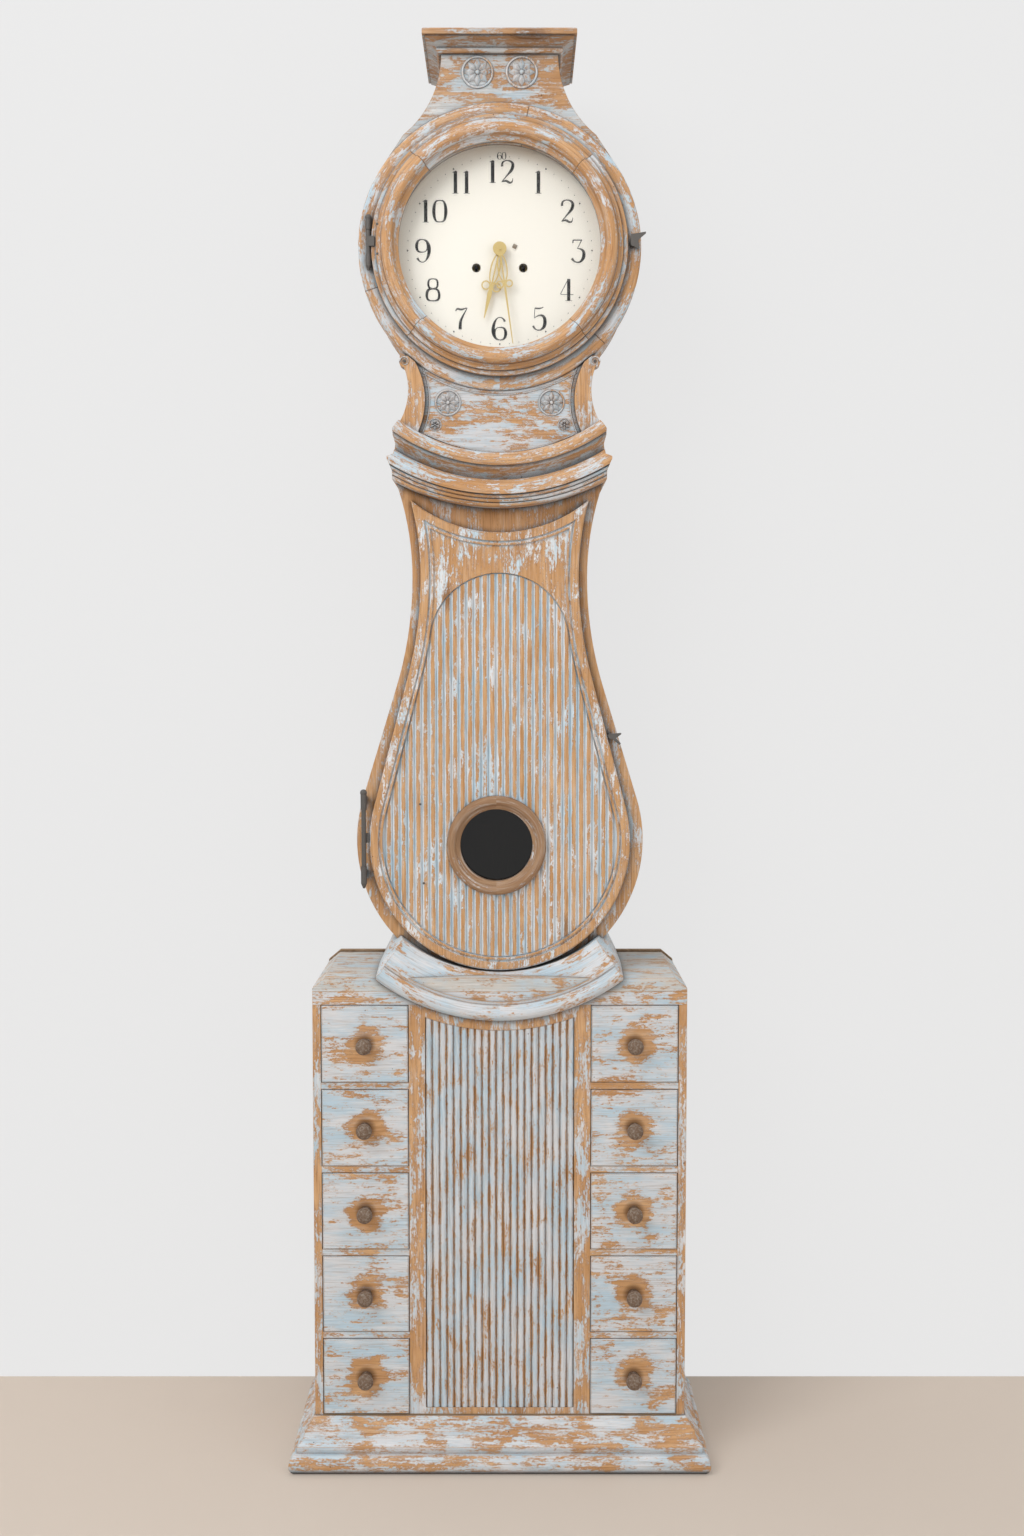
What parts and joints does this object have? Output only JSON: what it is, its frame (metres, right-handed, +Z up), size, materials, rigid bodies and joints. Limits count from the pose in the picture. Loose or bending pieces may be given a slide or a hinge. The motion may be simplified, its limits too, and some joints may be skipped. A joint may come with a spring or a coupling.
{
  "type": "mora clock",
  "caption": "Pine long-case clock: drawer base, round-bellied reeded trunk door with pendulum window, scrolled neck, round hood with opening bezel, and crown.",
  "frame": {"origin": "on the floor, at the middle of the footprint", "axes": "+Z up; -Y towards the viewer, the dial side; +X to the viewer's right"},
  "size_m": [0.621, 0.266, 2.1],
  "materials": {
    "scraped_pine": "dry-scraped pine with remnants of pale blue paint",
    "inner_pine": "bare unfinished pine",
    "black_iron": "hand-forged iron, blackened",
    "window_glass": "old clear window glass",
    "dial_paint": "cream painted iron dial, crazed, black numerals",
    "gilt_brass": "pierced gilt brass, aged",
    "movement_brass": "plain cast brass, aged",
    "movement_iron": "filed iron, oiled",
    "gut_line": "twisted gut line"
  },
  "bodies": {
    "case": {"plinth_moulding": "scraped_pine", "base_sides": "scraped_pine", "base_back_board": "inner_pine", "base_bottom_board": "inner_pine", "base_top_board": "scraped_pine", "base_top_rail": "scraped_pine", "drawer_partitions": "inner_pine", "drawer_dividers": "scraped_pine", "centre_frame": "scraped_pine", "reeded_panel": "scraped_pine", "collar_moulding": "scraped_pine", "trunk_side_wall": "scraped_pine", "trunk_front_board": "scraped_pine", "trunk_back_board": "inner_pine", "trunk_hinge_pintle": "black_iron", "trunk_cornice": "scraped_pine", "neck_panel": "scraped_pine", "neck_scrolls": "scraped_pine", "neck_cheeks": "scraped_pine", "hood_drum": "scraped_pine", "hood_front_ring": "scraped_pine", "hood_back_board": "inner_pine", "crown_neck": "scraped_pine", "crown_cornice": "scraped_pine", "bezel_hinge_pintle": "black_iron", "dial": "dial_paint", "movement_plates": "movement_brass", "seat_board": "inner_pine", "train_wheels": "movement_brass", "bell": "movement_brass"},
    "trunk_door": {"trunk_door": "scraped_pine", "lenticle_ring": "scraped_pine", "lenticle_glass": "window_glass", "trunk_hinge_leaf": "black_iron"},
    "trunk_latch": {"trunk_latch": "black_iron"},
    "bezel_door": {"bezel_ring": "scraped_pine", "bezel_glass": "window_glass", "bezel_hinge_leaf": "black_iron"},
    "bezel_latch": {"bezel_latch": "black_iron"},
    "hour_hand": {"hour_hand": "gilt_brass"},
    "minute_hand": {"minute_hand": "gilt_brass"},
    "left_barrel": {"left_barrel": "movement_brass"},
    "right_barrel": {"right_barrel": "movement_brass"},
    "left_weight": {"left_weight": "movement_iron", "left_line": "gut_line"},
    "right_weight": {"right_weight": "movement_iron", "right_line": "gut_line"},
    "pendulum": {"pendulum": "movement_iron", "anchor": "movement_iron"},
    "strike_hammer": {"strike_hammer": "movement_iron"},
    "drawer_left_1": {"drawer_left_1": "scraped_pine"},
    "drawer_left_2": {"drawer_left_2": "scraped_pine"},
    "drawer_left_3": {"drawer_left_3": "scraped_pine"},
    "drawer_left_4": {"drawer_left_4": "scraped_pine"},
    "drawer_left_5": {"drawer_left_5": "scraped_pine"},
    "drawer_right_1": {"drawer_right_1": "scraped_pine"},
    "drawer_right_2": {"drawer_right_2": "scraped_pine"},
    "drawer_right_3": {"drawer_right_3": "scraped_pine"},
    "drawer_right_4": {"drawer_right_4": "scraped_pine"},
    "drawer_right_5": {"drawer_right_5": "scraped_pine"}
  },
  "joints": [
    {"name": "drawer_left_1_slide", "type": "slide", "parent": "case", "child": "drawer_left_1", "axis": [0, -1, 0], "range_m": [0, 0.15]},
    {"name": "drawer_left_2_slide", "type": "slide", "parent": "case", "child": "drawer_left_2", "axis": [0, -1, 0], "range_m": [0, 0.15]},
    {"name": "drawer_left_3_slide", "type": "slide", "parent": "case", "child": "drawer_left_3", "axis": [0, -1, 0], "range_m": [0, 0.15]},
    {"name": "drawer_left_4_slide", "type": "slide", "parent": "case", "child": "drawer_left_4", "axis": [0, -1, 0], "range_m": [0, 0.15]},
    {"name": "drawer_left_5_slide", "type": "slide", "parent": "case", "child": "drawer_left_5", "axis": [0, -1, 0], "range_m": [0, 0.15]},
    {"name": "drawer_right_1_slide", "type": "slide", "parent": "case", "child": "drawer_right_1", "axis": [0, -1, 0], "range_m": [0, 0.15]},
    {"name": "drawer_right_2_slide", "type": "slide", "parent": "case", "child": "drawer_right_2", "axis": [0, -1, 0], "range_m": [0, 0.15]},
    {"name": "drawer_right_3_slide", "type": "slide", "parent": "case", "child": "drawer_right_3", "axis": [0, -1, 0], "range_m": [0, 0.15]},
    {"name": "drawer_right_4_slide", "type": "slide", "parent": "case", "child": "drawer_right_4", "axis": [0, -1, 0], "range_m": [0, 0.15]},
    {"name": "drawer_right_5_slide", "type": "slide", "parent": "case", "child": "drawer_right_5", "axis": [0, -1, 0], "range_m": [0, 0.15]},
    {"name": "trunk_door_hinge", "type": "hinge", "parent": "case", "child": "trunk_door", "pos_m": [-0.2, -0.072, 0.935], "axis": [0, 0, -1], "range_deg": [0, 110]},
    {"name": "trunk_latch_turn", "type": "hinge", "parent": "case", "child": "trunk_latch", "pos_m": [0.163, -0.071, 1.085], "axis": [0, -1, 0], "range_deg": [0, 180]},
    {"name": "bezel_door_hinge", "type": "hinge", "parent": "case", "child": "bezel_door", "pos_m": [-0.1905, -0.048, 1.804], "axis": [0, 0, -1], "range_deg": [0, 110]},
    {"name": "bezel_latch_turn", "type": "hinge", "parent": "case", "child": "bezel_latch", "pos_m": [0.194, -0.052, 1.799], "axis": [0, 1, 0], "range_deg": [0, 140]},
    {"name": "minute_hand_turn", "type": "hinge", "parent": "case", "child": "minute_hand", "pos_m": [0, -0.032, 1.797], "axis": [0, 1, 0], "continuous": true},
    {"name": "hour_hand_turn", "type": "hinge", "parent": "case", "child": "hour_hand", "pos_m": [0, -0.027, 1.797], "axis": [0, 1, 0], "continuous": true},
    {"name": "left_weight_rise", "type": "slide", "parent": "case", "child": "left_weight", "axis": [0, 0, 1], "range_m": [0, 0.55], "deforming": ["left_line"]},
    {"name": "left_barrel_turn", "type": "hinge", "parent": "case", "child": "left_barrel", "pos_m": [-0.0345, 0.03, 1.772], "axis": [0, -1, 0], "range_deg": [0, 3002]},
    {"name": "right_weight_rise", "type": "slide", "parent": "case", "child": "right_weight", "axis": [0, 0, 1], "range_m": [0, 0.55], "deforming": ["right_line"]},
    {"name": "right_barrel_turn", "type": "hinge", "parent": "case", "child": "right_barrel", "pos_m": [0.0345, 0.03, 1.772], "axis": [0, 1, 0], "range_deg": [0, 3002]},
    {"name": "pendulum_swing", "type": "hinge", "parent": "case", "child": "pendulum", "pos_m": [0, 0.084, 1.866], "axis": [0, 1, 0], "range_deg": [-3, 3]},
    {"name": "strike_hammer_swing", "type": "hinge", "parent": "case", "child": "strike_hammer", "pos_m": [-0.05, 0.03, 1.85], "axis": [0, -1, 0], "range_deg": [0, 12]}
  ],
  "couplings": [
    {"joint": "hour_hand_turn", "follows": "minute_hand_turn", "ratio": 0.083333},
    {"joint": "left_barrel_turn", "follows": "left_weight_rise", "rad_per_m": 95.238},
    {"joint": "right_barrel_turn", "follows": "right_weight_rise", "rad_per_m": 95.238}
  ]
}
